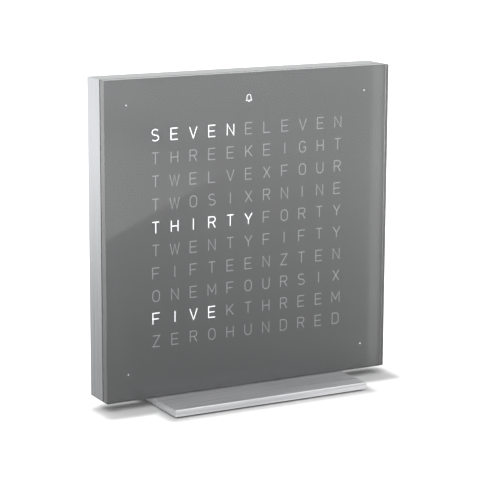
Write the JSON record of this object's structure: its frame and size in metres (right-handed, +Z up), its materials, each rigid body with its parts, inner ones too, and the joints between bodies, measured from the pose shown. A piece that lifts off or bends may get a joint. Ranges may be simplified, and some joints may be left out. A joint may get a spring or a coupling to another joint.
{
  "type": "word clock",
  "caption": "Square desk clock that tells the time in lit words behind a clear flush cover, on a flat metal foot.",
  "frame": {"origin": "on the ground under the middle of the foot plate", "axes": "+X to the right as seen from the front, the front faces -Y, +Z up"},
  "size_m": [0.135, 0.058, 0.1386],
  "materials": {
    "clear_acrylic": "clear cast acrylic, polished",
    "mask_lacquer": "grey screen-printed film",
    "black_tape": "black foam tape",
    "white_film": "white diffuser film",
    "white_abs": "white moulded plastic",
    "brushed_aluminium": "milled and brushed",
    "brushed_steel_plate": "brushed along its length",
    "board_green": "green solder mask",
    "led_plastic": "white package with yellow resin",
    "screw_steel": "plated steel",
    "chip_black": "moulded epoxy",
    "can_steel": "polished can",
    "holder_black": "black moulded plastic",
    "spring_brass": "spring strip",
    "contact_plate": "nickel plated",
    "capacitor_ochre": "moulded",
    "back_abs": "fine sparked texture",
    "button_abs": "satin moulded",
    "pad_rubber": "thin black rubber"
  },
  "bodies": {
    "clock": {"front_cover": "clear_acrylic", "letter_mask": "mask_lacquer", "cover_tape": "black_tape", "diffuser": "white_film", "light_grid": "white_abs", "housing": "brushed_aluminium", "led_board": "board_green", "letter_leds": "led_plastic", "corner_leds": "led_plastic", "alarm_led": "led_plastic", "processor": "chip_black", "led_drivers": "chip_black", "clock_chip": "chip_black", "quartz_crystal": "can_steel", "coin_cell": "can_steel", "cell_holder": "holder_black", "cell_clip": "spring_brass", "buzzer": "holder_black", "light_sensor": "chip_black", "sensor_window": "clear_acrylic", "voltage_regulator": "chip_black", "smoothing_capacitor": "capacitor_ochre", "chip_resistors": "chip_black", "power_socket": "holder_black", "power_pin": "contact_plate", "power_terminals": "contact_plate", "barrel_spring": "spring_brass", "ground_spring": "spring_brass", "back_cover": "back_abs", "back_cover_screws": "screw_steel", "button_switches": "holder_black", "foot_plate": "brushed_steel_plate", "foot_pad": "pad_rubber", "foot_screws": "screw_steel"},
    "hour_key": {"hour_button": "button_abs", "hour_plunger": "button_abs"},
    "minute_key": {"minute_button": "button_abs", "minute_plunger": "button_abs"},
    "light_key": {"light_button": "button_abs", "light_plunger": "button_abs"},
    "alarm_key": {"alarm_button": "button_abs", "alarm_plunger": "button_abs"}
  },
  "joints": [
    {"name": "hour_press", "type": "slide", "parent": "clock", "child": "hour_key", "axis": [0, -1, 0], "range_m": [0, 0.0005], "stiffness_N_per_m": 3000},
    {"name": "minute_press", "type": "slide", "parent": "clock", "child": "minute_key", "axis": [0, -1, 0], "range_m": [0, 0.0005], "stiffness_N_per_m": 3000},
    {"name": "light_press", "type": "slide", "parent": "clock", "child": "light_key", "axis": [0, -1, 0], "range_m": [0, 0.0005], "stiffness_N_per_m": 3000},
    {"name": "alarm_press", "type": "slide", "parent": "clock", "child": "alarm_key", "axis": [0, -1, 0], "range_m": [0, 0.0005], "stiffness_N_per_m": 3000}
  ]
}
